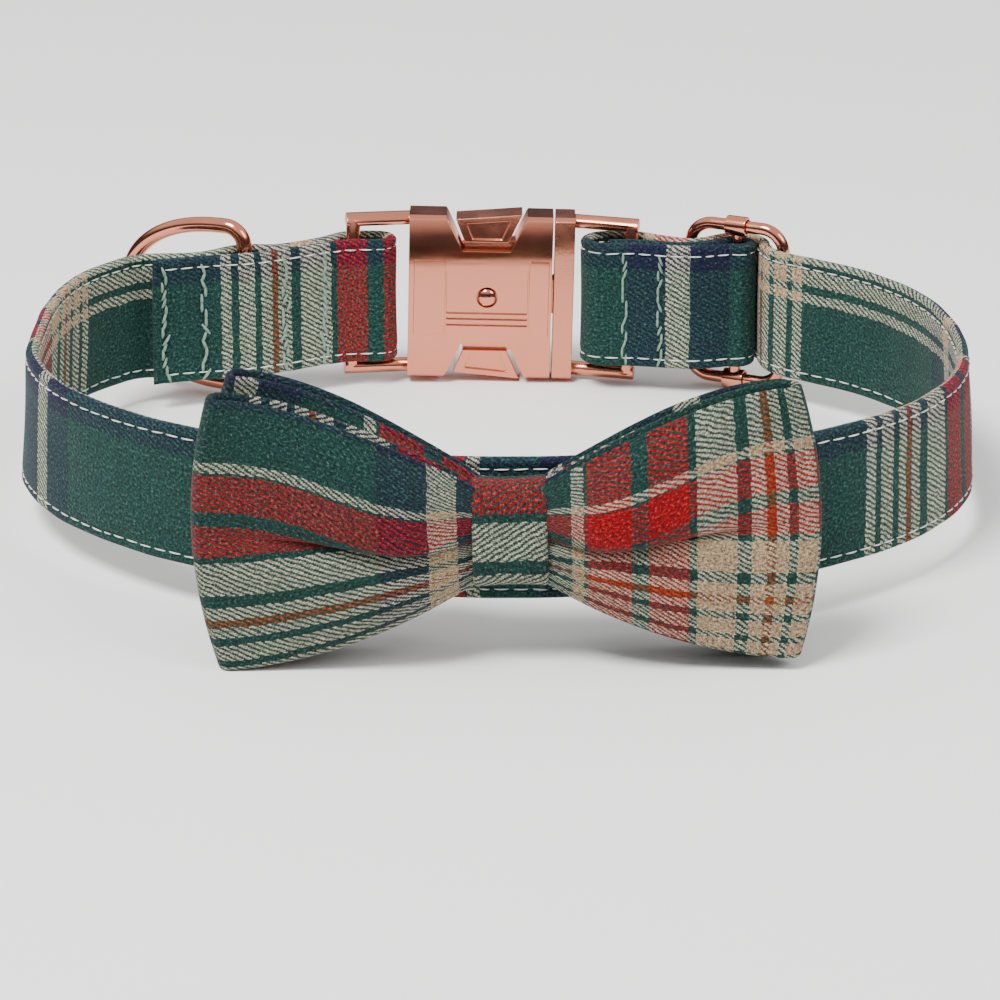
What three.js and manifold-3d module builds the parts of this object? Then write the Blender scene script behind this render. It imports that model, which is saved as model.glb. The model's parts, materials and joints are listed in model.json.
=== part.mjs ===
// A dog's bow tie collar: a plaid strap with a metal side-release buckle, a leash ring and a wire slider,
// and a bow of two cloth loops on its front. Millimetres, +Z up, the bow towards -Y.
import * as THREE from 'three';
import { mergeVertices } from 'three/addons/utils/BufferGeometryUtils.js';
import Module from 'manifold-3d';

const manifold = await Module();
manifold.setup();

// Strap
const strapWidth = 25;
const strapThickness = 2.2;
const strapEdgeRound = 0.6;
const halfWidth = 84.2;
const frontDepth = 62.6;
const backDepth = 66;
const upperEdgeLean = 4;

// Running gap between touching pieces, and between layers of cloth
const gap = 0.3;
const clothSlack = 0.15;
const leftFoldGap = 2.3;
const rightFoldGap = 1.4;

// Buckle
const buckleHeight = 33;
const buckleThickness = 8;
const buckleAcross = 1.3;
const buckleBack = 70.5;
const buckleTurn = 1.3;
const housingWidth = 28.1;
const plugFlange = 3.9;
const housingToPlug = 0.4;
const armLength = 12.4;
const armWire = 2.8;
const armDrop = 2.5;
const armRoot = 1.5;
const housingWall = 1.9;
const housingEndWall = 3;
const buckleChamfer = 0.7;
const notchMouth = 16;
const notchFloor = 9.4;
const notchDepth = 7;
const notchAcross = 1.1;
const cavityPastNotch = 2;
const panelRaise = 0.5;
const panelWidth = 6.1;
const panelFromEnd = 1.1;
const panelByPlugWidth = 3.8;
const panelByPlugFromEnd = 0.6;
const panelHeight = 15.1;
const panelBandHeight = 11.4;
const panelBandDepth = 0.5;
const ridgeHeight = 0.7;
const ridgesFromBandEdge = [0.9, 2.1];
const leverThickness = 6;
const leverSide = 1.1;
const leverPressRoom = 0.8;
const leverLow = 1;
const leverFaceDepth = 0.5;
const leverFaceShare = 0.66;
const leverFaceDrop = 0.3;
const leverUnder = 1.5;
const leverRise = 1.4;
const leverSpring = 1.7;
const leverPivotIn = 2.4;
const leverEye = 2.6;
const leverArmRoot = 0.5;
const leverArmBend = 0.4;
const tongueLength = 20;
const tongueRoot = 0.5;
const tongueHeight = 7;
const rivetRadius = 1.75;
const rivetHead = 0.8;
const rivetTailChamfer = 0.2;

// Leash ring
const ringWire = 3;
const ringHeight = 34.9;
const ringDepth = 26;
const ringFullness = 2.3;
const ringCorner = 4;
const ringAcross = 48.9;
const ringBack = 58.6;
const ringTurn = 23;
const ringRise = 0.65;

// Slider
const sliderWire = 2.4;
const sliderHeight = 33.6;
const sliderWidth = 21.9;
const sliderCorner = 4.6;
const sliderAcross = 46.7;
const sliderBack = 64.4;
const sliderTurn = 25;
const sliderDrop = 0.2;
const sliderBarWire = 2.4;
const sleeveWall = 0.5;
const sleeveGap = 0.25;
const sleeveLength = 4.2;

// Bow
const bowLength = 102.8;
const bowEndHeight = 47;
const bowWaistHeight = 18.2;
const bowAcross = 2.1;
const bowRise = 16.5;
const bowTurn = 1.3;
const bowCloth = 1.4;
const bowEndBulge = 3.3;
const bowOpening = 2.2;
const bowLoopGap = 1.1;
const pleatDepth = 3.2;
const rearShorter = 4;
const rearTurn = 1.6;
const knotWidth = 12.4;
const knotCloth = 1.3;
const knotCorner = 0.6;

// Elastic loops behind the bow
const elasticWidth = 10;
const elasticCloth = 1.2;
const elasticSpacing = 38;
const elasticCorner = 0.5;

// How full each quarter of the strap's oval is, as the power of its superellipse
const quarterFullness = { frontRight: 2.1, backRight: 2.45, backLeft: 3.6, frontLeft: 1.87 };

// Bearings on the oval between which the strap follows it, and its step, in degrees
const ovalFrom = 135;
const ovalTo = 408;
const ovalStep = 7;

// The way that the strap's layers face where they pass the hardware, in degrees from straight back
const layersFacing = {
  ringBar: -20, leftBar: -6, leftBarWrap: -38, sliderRight: 48, sliderFoldFrom: 100, sliderFoldTo: -20,
  sliderLeft: 0, rightBar: 0, rightBarWrap: 36,
};

// Rows of stitching on the left, from the flap's free end to the buckle, beside the leash ring's channel.
// across and back place the line between the two layers, as shares of halfWidth and backDepth; facing is
// the way that the outer layer faces, in degrees from straight back; lift is extra room between the layers.
const leftSeams = [
  { across: -0.797, back: 0.79, facing: 24, lift: 1.2 },
  { across: -0.768, back: 0.797, facing: 22, lift: 0 },
  { across: -0.683, back: 0.83, facing: 24, lift: 0 },
];
const leftSeamsByBuckle = [
  { across: -0.5, back: 0.912, facing: 26, lift: 0.6 },
  { across: -0.412, back: 0.975, facing: 30, lift: 0.5 },
];

// The bow's wing from knot to tip: out is the share of its half length, spread how far its height has
// grown from the waist's to the end's, open the share of the loop's opening, pleat the share of pleatDepth.
const wingSections = [
  { out: 0, spread: 0, open: 0, pleat: 0.25 },
  { out: 0.13, spread: 0, open: 0, pleat: 0.35 },
  { out: 0.22, spread: 0.15, open: 0.3, pleat: 0.85 },
  { out: 0.32, spread: 0.32, open: 0.6, pleat: 1 },
  { out: 0.44, spread: 0.54, open: 0.9, pleat: 0.85 },
  { out: 0.56, spread: 0.7, open: 1, pleat: 0.6 },
  { out: 0.7, spread: 0.86, open: 1, pleat: 0.35 },
  { out: 0.85, spread: 0.96, open: 1, pleat: 0.15 },
  { out: 1, spread: 1, open: 1, pleat: 0 },
];

const degrees = THREE.MathUtils.degToRad;
const wireRingSides = 10;
const layerStep = strapThickness + gap + clothSlack;
const clothOver = strapThickness / 2 + gap + clothSlack;
const aroundBuckleBar = armWire / 2 + clothOver;
const aroundRingBar = ringWire / 2 + clothOver;
const aroundSliderBar = sliderBarWire / 2 + clothOver;
const besideSliderWire = sliderWire / 2 + clothOver + clothSlack;

const cloth = (color) => new THREE.MeshStandardMaterial({ color, roughness: 0.9, metalness: 0 });
const roseGold = () => new THREE.MeshStandardMaterial({ color: 0xd69e88, roughness: 0.2, metalness: 1 });

// A closed body from rings of points: each ring joins the next, and either the last joins the first or
// both ends are capped. The faces are turned outward by the sign of the volume.
function bodyFromRings(rings, closed) {
  const sides = rings[0].length;
  const positions = rings.flat().flatMap((point) => point.toArray());
  const triangles = [];
  const bands = closed ? rings.length : rings.length - 1;
  for (let i = 0; i < bands; i += 1) {
    const next = (i + 1) % rings.length;
    for (let j = 0; j < sides; j += 1) {
      const k = (j + 1) % sides;
      triangles.push([i * sides + j, next * sides + j, next * sides + k]);
      triangles.push([i * sides + j, next * sides + k, i * sides + k]);
    }
  }
  if (!closed) {
    const last = (rings.length - 1) * sides;
    for (let j = 1; j < sides - 1; j += 1) {
      triangles.push([0, j, j + 1]);
      triangles.push([last, last + j + 1, last + j]);
    }
  }
  const points = rings.flat();
  const volume = triangles.reduce((sum, [a, b, c]) => sum
    + points[a].dot(new THREE.Vector3().crossVectors(points[b], points[c])), 0);
  const index = triangles.flatMap(([a, b, c]) => (volume > 0 ? [a, b, c] : [a, c, b]));
  const geometry = new THREE.BufferGeometry();
  geometry.setAttribute('position', new THREE.Float32BufferAttribute(positions, 3));
  geometry.setIndex(index);
  geometry.computeVertexNormals();
  return geometry;
}

// A wire bent round a closed flat outline of {x, z} points.
function wireRing(outline, radius) {
  const rings = outline.map((point, i) => {
    const before = outline[(i + outline.length - 1) % outline.length];
    const after = outline[(i + 1) % outline.length];
    const outward = new THREE.Vector3(after.z - before.z, 0, before.x - after.x).normalize();
    return Array.from({ length: wireRingSides }, (_, j) => {
      const angle = ((j + 0.5) / wireRingSides) * 2 * Math.PI;
      return new THREE.Vector3(point.x, 0, point.z)
        .addScaledVector(outward, radius * Math.cos(angle))
        .add(new THREE.Vector3(0, radius * Math.sin(angle), 0));
    });
  });
  return bodyFromRings(rings, true);
}

function toSolid(geometry) {
  const plain = geometry.clone();
  plain.deleteAttribute('normal');
  plain.deleteAttribute('uv');
  const merged = mergeVertices(plain, 1e-3);
  return new manifold.Manifold(new manifold.Mesh({
    numProp: 3,
    vertProperties: Float32Array.from(merged.attributes.position.array),
    triVerts: Uint32Array.from(merged.index.array),
  }));
}

function fromSolid(solid) {
  const mesh = solid.getMesh();
  const geometry = new THREE.BufferGeometry();
  geometry.setAttribute('position', new THREE.BufferAttribute(Float32Array.from(mesh.vertProperties), 3));
  geometry.setIndex(new THREE.BufferAttribute(Uint32Array.from(mesh.triVerts), 1));
  geometry.computeVertexNormals();
  return geometry;
}

const block = (width, depth, height, x, y, z) => toSolid(
  new THREE.BoxGeometry(width, depth, height).translate(x, y, z),
);

// A round rod of the given radius between two points.
function rod(from, to, radius, sides = 12) {
  const along = to.clone().sub(from);
  const geometry = new THREE.CylinderGeometry(radius, radius, along.length(), sides);
  geometry.rotateY(Math.PI / sides);
  geometry.applyQuaternion(new THREE.Quaternion().setFromUnitVectors(
    new THREE.Vector3(0, 1, 0),
    along.clone().normalize(),
  ));
  const middle = from.clone().add(to).multiplyScalar(0.5);
  return toSolid(geometry.translate(middle.x, middle.y, middle.z));
}

// A plate whose outline is in X and Z, centred on Y = 0.
function plate(outline, thickness) {
  const shape = new THREE.Shape(outline.map(([x, z]) => new THREE.Vector2(x, z)));
  const geometry = new THREE.ExtrudeGeometry(shape, { depth: thickness, bevelEnabled: false });
  geometry.translate(0, 0, -thickness / 2);
  geometry.rotateX(Math.PI / 2);
  return toSolid(geometry);
}

// A point on the middle line of the strap's oval, at a bearing from +X towards +Y.
function onOval(bearing) {
  const c = Math.cos(degrees(bearing));
  const s = Math.sin(degrees(bearing));
  const side = c < 0 ? 'Left' : 'Right';
  const power = 2 / quarterFullness[(s < 0 ? 'front' : 'back') + side];
  return new THREE.Vector2(
    Math.sign(c) * halfWidth * Math.abs(c) ** power,
    Math.sign(s) * (s < 0 ? frontDepth : backDepth) * Math.abs(s) ** power,
  );
}

// The point of the oval's front at a distance across, and the way the strap turns there.
function frontOfOval(across) {
  const fullness = quarterFullness[across < 0 ? 'frontLeft' : 'frontRight'];
  const at = (x) => -frontDepth * (1 - (Math.abs(x) / halfWidth) ** fullness) ** (1 / fullness);
  const step = 0.5;
  return { x: across, y: at(across), turn: Math.atan2(at(across + step) - at(across - step), 2 * step) };
}

const facing = (angle) => new THREE.Vector2(Math.sin(degrees(angle)), Math.cos(degrees(angle)));
const offset = (point, angle, distance) => point.clone().addScaledVector(facing(angle), distance);

// Where the buckle's two strap bars stand, and how the strap's folds lie on them
const armReach = armLength - armWire / 2;
const buckleLeft = -buckleAcross - (housingWidth + housingToPlug + plugFlange) / 2;
const buckleRight = -buckleAcross + (housingWidth + housingToPlug + plugFlange) / 2;
const leftBar = new THREE.Vector2(buckleLeft - armReach, buckleBack - armDrop);
const rightBar = new THREE.Vector2(buckleRight + armReach, buckleBack - armDrop);

// The slider's wires and centre bar in plan
const sliderBar = new THREE.Vector2(sliderAcross, sliderBack);
const sliderSide = (sliderWidth - sliderWire) / 2;
const sliderAlong = new THREE.Vector2(Math.cos(degrees(sliderTurn)), -Math.sin(degrees(sliderTurn)));
const sliderLeftWire = sliderBar.clone().addScaledVector(sliderAlong, -sliderSide);
const sliderRightWire = sliderBar.clone().addScaledVector(sliderAlong, sliderSide);

const ringBar = new THREE.Vector2(-ringAcross, ringBack);

// Half a turn of cloth round a middle, from one facing to the next.
function fold(middle, radius, from, to, steps) {
  return Array.from({ length: steps + 1 }, (_, i) => offset(middle, from + ((to - from) * i) / steps, radius));
}

// The strap's middle line in plan: the left flap's free end, the left buckle bar, the oval's left end,
// front and right end, the slider, the right buckle bar, the slider's centre bar, and the other free end.
function strapRoute() {
  const seam = (row) => ({
    middle: new THREE.Vector2(row.across * halfWidth, row.back * backDepth),
    angle: -row.facing,
    half: (layerStep + row.lift) / 2,
  });
  const leftLayers = [
    ...leftSeams.map(seam),
    { middle: ringBar, angle: layersFacing.ringBar, half: aroundRingBar },
    ...leftSeamsByBuckle.map(seam),
    { middle: leftBar, angle: layersFacing.leftBar, half: aroundBuckleBar },
  ];
  const leftNear = leftLayers.map((row) => offset(row.middle, row.angle, -row.half));
  const leftOuter = leftLayers.slice(2).map((row) => offset(row.middle, row.angle, row.half)).reverse();
  leftOuter.splice(1, 0, offset(leftBar, layersFacing.leftBarWrap, aroundBuckleBar));
  const leftFoldMiddle = new THREE.Vector2(
    buckleLeft - leftFoldGap - strapThickness / 2 - aroundBuckleBar,
    leftBar.y,
  );
  const leftFold = fold(leftFoldMiddle, aroundBuckleBar, 180, 0, 6);

  const oval = [];
  for (let bearing = ovalFrom; bearing <= ovalTo; bearing += ovalStep) oval.push(onOval(bearing));

  const outerAtSliderRight = offset(sliderRightWire, layersFacing.sliderRight, -besideSliderWire);
  const { sliderFoldFrom, sliderFoldTo } = layersFacing;
  const aroundSliderFold = fold(sliderBar, aroundSliderBar + layerStep, sliderFoldFrom, sliderFoldTo, 6);
  const outerAtSliderLeft = offset(sliderLeftWire, layersFacing.sliderLeft, -besideSliderWire);
  const outerBesideBar = offset(rightBar, layersFacing.rightBarWrap, aroundBuckleBar);
  const outerAtBar = offset(rightBar, layersFacing.rightBar, aroundBuckleBar);
  const flapAtSliderLeft = offset(outerAtSliderLeft, layersFacing.sliderLeft, -layerStep);
  const nearAtSliderLeft = offset(flapAtSliderLeft, layersFacing.sliderLeft, -layerStep);
  const flapAtBar = offset(rightBar, layersFacing.rightBar, -aroundBuckleBar);
  const nearAtBar = offset(flapAtBar, layersFacing.rightBar, -layerStep);
  const rightFoldRadius = (outerAtBar.y - nearAtBar.y) / 2;
  const rightFoldMiddle = new THREE.Vector2(
    buckleRight + rightFoldGap + strapThickness / 2 + rightFoldRadius,
    nearAtBar.y + rightFoldRadius,
  );
  const rightFold = fold(rightFoldMiddle, rightFoldRadius, 0, -180, 8);
  const sliderFold = fold(sliderBar, aroundSliderBar, 180 + sliderTurn, sliderFoldTo, 8);
  const flapEnd = new THREE.Vector2(rightFoldMiddle.x, flapAtBar.y);

  return [
    ...leftNear, ...leftFold, ...leftOuter, ...oval,
    outerAtSliderRight, ...aroundSliderFold, outerAtSliderLeft, outerBesideBar, outerAtBar,
    ...rightFold, nearAtBar, nearAtSliderLeft, ...sliderFold, flapAtSliderLeft, flapAtBar, flapEnd,
  ];
}

// The strap: a ribbon with rounded edges carried along its route, its upper edge leaning in at both ends.
function strap() {
  const points = strapRoute().map((point) => new THREE.Vector3(point.x, point.y, 0));
  const curve = new THREE.CatmullRomCurve3(points, false, 'centripetal');
  const line = curve.getPoints((points.length - 1) * 2);
  const half = strapThickness / 2;
  const edge = strapEdgeRound;
  const section = [
    [-half, edge], [-half, strapWidth - edge], [-half + edge, strapWidth], [half - edge, strapWidth],
    [half, strapWidth - edge], [half, edge], [half - edge, 0], [-half + edge, 0],
  ];
  const rings = line.map((point, i) => {
    const before = line[Math.max(i - 1, 0)];
    const after = line[Math.min(i + 1, line.length - 1)];
    const across = new THREE.Vector3(after.y - before.y, before.x - after.x, 0).normalize();
    const share = Math.min(Math.abs(point.x) / halfWidth, 1) ** 6;
    const inward = -Math.sign(point.x) * Math.tan(degrees(upperEdgeLean)) * share;
    return section.map(([out, height]) => new THREE.Vector3(
      point.x + across.x * out + inward * (height - strapWidth / 2),
      point.y + across.y * out,
      height,
    ));
  });
  return bodyFromRings(rings, false);
}

const halfThick = buckleThickness / 2;
const halfHigh = buckleHeight / 2;
const housingLeft = -(housingWidth + housingToPlug + plugFlange) / 2;
const housingRight = housingLeft + housingWidth;
const plugLeft = housingRight + housingToPlug;
const plugRight = plugLeft + plugFlange;
const cavityHalfThick = halfThick - housingWall;
const cavityHeight = 2 * (halfHigh - notchDepth + cavityPastNotch);
const notchMiddle = (housingLeft + housingRight) / 2 + notchAcross;

const notchSlope = (notchMouth - notchFloor) / 2 / notchDepth;
const bandLeft = housingLeft + panelFromEnd + panelWidth;
const bandRight = housingRight - panelByPlugFromEnd - panelByPlugWidth;
const bandMiddle = (bandLeft + bandRight) / 2;
const cutPast = 1;

// The outline of the notch above the buckle's middle, run out past the edge.
function notchOutline() {
  const floor = halfHigh - notchDepth;
  const top = halfHigh + cutPast;
  const atFloor = notchFloor / 2;
  const atTop = atFloor + (top - floor) * notchSlope;
  return [
    [notchMiddle - atTop, top], [notchMiddle - atFloor, floor],
    [notchMiddle + atFloor, floor], [notchMiddle + atTop, top],
  ];
}

// A buckle block with its long edges chamfered, centred in Y and Z.
function chamferedBlock(left, right) {
  const c = buckleChamfer;
  const shape = new THREE.Shape([
    [-halfThick + c, -halfHigh], [halfThick - c, -halfHigh], [halfThick, -halfHigh + c],
    [halfThick, halfHigh - c], [halfThick - c, halfHigh], [-halfThick + c, halfHigh],
    [-halfThick, halfHigh - c], [-halfThick, -halfHigh + c],
  ].map(([x, y]) => new THREE.Vector2(x, y)));
  const geometry = new THREE.ExtrudeGeometry(shape, { depth: right - left, bevelEnabled: false });
  geometry.rotateX(Math.PI / 2).rotateZ(Math.PI / 2);
  geometry.translate(left, 0, 0);
  return toSolid(geometry);
}

// Two arms and the bar between them that holds a fold of the strap.
function armsAndBar(edge, side) {
  const armHigh = halfHigh - armWire / 2;
  const root = (z) => new THREE.Vector3(edge - side * armRoot, 0, z);
  const barX = edge + side * armReach;
  const tip = (z) => new THREE.Vector3(edge + side * armLength, -armDrop * (armLength / armReach), z);
  const bar = (z) => new THREE.Vector3(barX, -armDrop, z);
  return rod(root(armHigh), tip(armHigh), armWire / 2)
    .add(rod(root(-armHigh), tip(-armHigh), armWire / 2))
    .add(rod(bar(-armHigh), bar(armHigh), armWire / 2));
}

function housing() {
  let body = chamferedBlock(housingLeft, housingRight);
  const face = -halfThick;
  const panels = [
    [housingLeft + panelFromEnd, bandLeft],
    [bandRight, housingRight - panelByPlugFromEnd],
  ];
  for (const [left, right] of panels) {
    body = body.add(block(right - left, 2 * panelRaise, panelHeight, (left + right) / 2, face, 0));
  }
  const bandWidth = bandRight - bandLeft - 2 * gap;
  body = body.subtract(block(bandWidth, 2 * panelBandDepth, panelBandHeight, bandMiddle, face, 0));
  for (const fromEdge of ridgesFromBandEdge) {
    const z = fromEdge - panelBandHeight / 2;
    body = body.add(block(bandWidth, 2 * panelBandDepth, ridgeHeight, bandMiddle, face + panelBandDepth, z));
  }
  const notch = plate(notchOutline(), buckleThickness + 2 * cutPast);
  body = body.subtract(notch).subtract(notch.mirror([0, 0, 1]));
  const cavityLeft = housingLeft + housingEndWall;
  const cavityWidth = housingRight + cutPast - cavityLeft;
  body = body.subtract(block(
    cavityWidth, 2 * cavityHalfThick, cavityHeight, cavityLeft + cavityWidth / 2, 0, 0,
  ));
  const rivetHole = new THREE.CylinderGeometry(rivetRadius + gap, rivetRadius + gap, 2 * housingWall, 24)
    .translate(bandMiddle, -halfThick + panelBandDepth, 0);
  body = body.subtract(toSolid(rivetHole));
  return fromSolid(body.add(armsAndBar(housingLeft, -1)));
}

// A turned rivet: a low domed head on a short shank, its tail just off the plug's tongue.
function rivet() {
  const foot = housingWall - panelBandDepth;
  const profile = [
    [0, -foot], [rivetRadius - rivetTailChamfer, -foot], [rivetRadius, -foot + rivetTailChamfer],
    [rivetRadius, rivetHead * 0.3], [rivetRadius * 0.72, rivetHead * 0.8], [0, rivetHead],
  ].map(([x, y]) => new THREE.Vector2(x, y));
  const geometry = new THREE.LatheGeometry(profile, 24);
  geometry.rotateX(Math.PI).translate(bandMiddle, -halfThick + panelBandDepth, 0);
  return fromSolid(toSolid(geometry));
}

const tongueHalf = tongueHeight / 2;
const pivotX = housingRight - leverPivotIn;
const pivotZ = (tongueHalf + cavityHeight / 2) / 2;

function plug() {
  const tongueThick = 2 * (cavityHalfThick - gap);
  const tongue = block(tongueLength, tongueThick, tongueHeight, plugLeft + tongueRoot - tongueLength / 2, 0, 0);
  return fromSolid(chamferedBlock(plugLeft, plugRight).add(tongue).add(armsAndBar(plugRight, 1)));
}

// A release lever: a round eye by the plug, an arm through the housing and a thick button in the notch,
// whose outer edge rises towards the plug and whose face is sunk in the middle.
function lever() {
  const eye = rod(
    new THREE.Vector3(pivotX, -(cavityHalfThick - gap), pivotZ),
    new THREE.Vector3(pivotX, cavityHalfThick - gap, pivotZ),
    leverEye / 2,
    16,
  );
  const floor = halfHigh - notchDepth + leverUnder;
  const atFloor = notchFloor / 2 + leverUnder * notchSlope - leverSide;
  const outer = (x) => halfHigh - leverLow + (leverRise * (x - notchMiddle + notchMouth / 2)) / notchMouth;
  const leftTop = notchMiddle - notchMouth / 2 + leverSide + leverPressRoom;
  const rightTop = notchMiddle + notchMouth / 2 - leverSide;
  const buttonOutline = [
    [leftTop, outer(leftTop)], [notchMiddle - atFloor, floor],
    [notchMiddle + atFloor, floor], [rightTop, outer(rightTop)],
  ];
  const button = plate(buttonOutline, leverThickness);
  const middle = (leftTop + rightTop) / 2;
  const middleZ = (floor + halfHigh) / 2;
  const faceOutline = buttonOutline.map(([x, z]) => [
    middle + (x - middle) * leverFaceShare,
    middleZ + (z - middleZ) * leverFaceShare - leverFaceDrop,
  ]);
  const inset = plate(faceOutline, 2 * leverFaceDepth).translate([0, -leverThickness / 2, 0]);
  const armThick = 2 * (cavityHalfThick - gap);
  const armTop = cavityHeight / 2 - gap;
  const armBottom = tongueHalf + gap + leverSpring;
  const arm = plate([
    [notchMiddle - atFloor, floor + leverArmRoot], [notchMiddle - atFloor, floor - leverUnder],
    [notchMiddle + atFloor * leverArmBend, armBottom], [pivotX, pivotZ - leverEye / 2],
    [pivotX, armTop], [notchMiddle + atFloor, armTop], [notchMiddle + atFloor, floor + leverArmRoot],
  ], armThick);
  return button.subtract(inset).add(arm).add(eye);
}

// The leash ring's outline: a straight bar with rounded corners and a full arc, bar at x = 0.
function ringOutline() {
  const halfZ = (ringHeight - ringWire) / 2;
  const corner = ringCorner;
  const arcSteps = 26;
  const cornerSteps = 5;
  const barSteps = 6;
  const points = [];
  for (let i = 0; i <= arcSteps; i += 1) {
    const angle = (Math.PI * i) / arcSteps;
    const power = 2 / ringFullness;
    const x = corner + (ringDepth - corner) * Math.abs(Math.sin(angle)) ** power;
    points.push({ x: -x, z: Math.sign(Math.cos(angle)) * halfZ * Math.abs(Math.cos(angle)) ** power });
  }
  for (let i = 0; i < cornerSteps; i += 1) {
    const angle = (Math.PI / 2) * ((i + 0.5) / cornerSteps);
    points.push({ x: -corner * (1 - Math.sin(angle)), z: -halfZ + corner * (1 - Math.cos(angle)) });
  }
  const bar = halfZ - corner;
  for (let i = 0; i <= barSteps; i += 1) points.push({ x: 0, z: -bar + (2 * bar * i) / barSteps });
  for (let i = cornerSteps - 1; i >= 0; i -= 1) {
    const angle = (Math.PI / 2) * ((i + 0.5) / cornerSteps);
    points.push({ x: -corner * (1 - Math.sin(angle)), z: halfZ - corner * (1 - Math.cos(angle)) });
  }
  return points;
}

// A rectangle of wire with round corners.
function sliderOutline() {
  const halfX = sliderSide;
  const halfZ = (sliderHeight - sliderWire) / 2;
  const corners = [[1, 1, 0], [-1, 1, 90], [-1, -1, 180], [1, -1, 270]];
  const cornerSteps = 6;
  const points = [];
  for (const [sx, sz, start] of corners) {
    for (let i = 0; i <= cornerSteps; i += 1) {
      const angle = degrees(start + (90 * i) / cornerSteps);
      points.push({
        x: sx * (halfX - sliderCorner) + sliderCorner * Math.cos(angle),
        z: sz * (halfZ - sliderCorner) + sliderCorner * Math.sin(angle),
      });
    }
  }
  return points;
}

// The slider's centre bar, with a sleeve at each end closed round the frame's wire.
function sliderBarBody() {
  const wireZ = (sliderHeight - sliderWire) / 2;
  const sleeveInner = sliderWire / 2 + sleeveGap;
  const sleeveOuter = sleeveInner + sleeveWall;
  let body = rod(new THREE.Vector3(0, 0, -wireZ), new THREE.Vector3(0, 0, wireZ), sliderBarWire / 2);
  const across = (z, length) => [new THREE.Vector3(-length / 2, 0, z), new THREE.Vector3(length / 2, 0, z)];
  for (const z of [-wireZ, wireZ]) body = body.add(rod(...across(z, sleeveLength), sleeveOuter, 16));
  for (const z of [-wireZ, wireZ]) body = body.subtract(rod(...across(z, sleeveLength + 2 * cutPast), sleeveInner, 16));
  return fromSolid(body);
}

// The value of a wing column at a share of the half length, in straight steps between its rows.
function wing(column, out) {
  const at = Math.min(Math.max(out, 0), 1);
  const i = Math.min(wingSections.findIndex((row) => row.out >= at), wingSections.length - 1);
  if (i <= 0) return wingSections[0][column];
  const [a, b] = [wingSections[i - 1], wingSections[i]];
  return THREE.MathUtils.lerp(a[column], b[column], (at - a.out) / (b.out - a.out));
}

const closedHalf = bowCloth / 2 + gap / 2;
const waistHalf = 2 * (closedHalf + bowCloth / 2) + bowLoopGap / 2;
const bowStack = frontDepth + strapThickness / 2 + 3 * gap + knotCloth + waistHalf;

// One hollow loop of the bow: a flat ring of cloth, open above and below, gathered at the waist, where one
// deep pleat runs out between two lobes. order is -1 for the loop in front and 1 for the one behind.
function bowLoop(half, order) {
  const stations = 44;
  const rows = 8;
  const rings = [];
  for (let i = 0; i < stations; i += 1) {
    const turn = ((i + 0.5) / stations) * 2 * Math.PI;
    const out = Math.abs(Math.cos(turn)) ** 0.8;
    const side = Math.sign(Math.cos(turn));
    const face = Math.sin(turn);
    const bulge = closedHalf + (bowOpening / 2) * wing('open', out);
    const middle = order * (bulge + bowCloth / 2 + bowLoopGap / 2);
    const round = Math.sign(face) * Math.sqrt(1 - out ** 12);
    const tall = THREE.MathUtils.lerp(bowWaistHeight, bowEndHeight, wing('spread', out)) / 2;
    const pleat = pleatDepth * wing('pleat', out);
    const normalX = side * (out > 0.93 ? 1 - Math.abs(round) : 0);
    const normalY = Math.abs(round) < 0.05 ? 0 : round;
    const length = Math.hypot(normalX, normalY);
    const skin = (v, sign) => {
      const tip = half - bowEndBulge * v * v * out ** 4;
      const lobes = -pleat * Math.abs(Math.sin(Math.PI * v)) ** 0.8;
      return new THREE.Vector3(
        side * out * tip + (sign * normalX * bowCloth) / 2 / length,
        middle + bulge * round + lobes + (sign * normalY * bowCloth) / 2 / length,
        tall * v,
      );
    };
    const heights = Array.from({ length: rows + 1 }, (_, j) => -1 + (2 * j) / rows);
    rings.push([
      ...heights.map((v) => skin(v, 1)),
      ...heights.slice().reverse().map((v) => skin(v, -1)),
    ]);
  }
  return bodyFromRings(rings, true);
}

// A flat band closed round an oblong core with round corners, as a ring in Y and Z of a width along X.
function band(halfY, halfZ, thickness, width, corner) {
  const corners = [[1, 1, 0], [-1, 1, 90], [-1, -1, 180], [1, -1, 270]];
  const cornerSteps = 3;
  const rings = [];
  for (const [sy, sz, start] of corners) {
    for (let i = 0; i <= cornerSteps; i += 1) {
      const angle = degrees(start + (90 * i) / cornerSteps);
      const at = (radius) => [
        sy * (halfY - corner) + radius * Math.cos(angle),
        sz * (halfZ - corner) + radius * Math.sin(angle),
      ];
      const [inner, outer] = [at(corner), at(corner + thickness)];
      rings.push([
        new THREE.Vector3(-width / 2, ...inner), new THREE.Vector3(width / 2, ...inner),
        new THREE.Vector3(width / 2, ...outer), new THREE.Vector3(-width / 2, ...outer),
      ]);
    }
  }
  return bodyFromRings(rings, true);
}

function named(name, geometry, material) {
  const mesh = new THREE.Mesh(geometry, material);
  mesh.name = name;
  return mesh;
}

const collar = new THREE.Group();
collar.add(named('collar_strap', strap(), cloth(0x2c6b5b)));

const buckle = new THREE.Group();
buckle.position.set(-buckleAcross, buckleBack, strapWidth / 2);
buckle.rotation.y = degrees(buckleTurn);
const topLever = lever();
buckle.add(
  named('buckle_housing', housing(), roseGold()),
  named('housing_rivet', rivet(), roseGold()),
  named('buckle_plug', plug(), roseGold()),
  named('release_lever_top', fromSolid(topLever), roseGold()),
  named('release_lever_bottom', fromSolid(topLever.mirror([0, 0, 1])), roseGold()),
);
collar.add(buckle);

const leashRing = named('d_ring', wireRing(ringOutline(), ringWire / 2), roseGold());
leashRing.position.set(ringBar.x, ringBar.y, strapWidth / 2 + ringRise);
leashRing.rotation.z = -degrees(ringTurn);
collar.add(leashRing);

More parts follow.
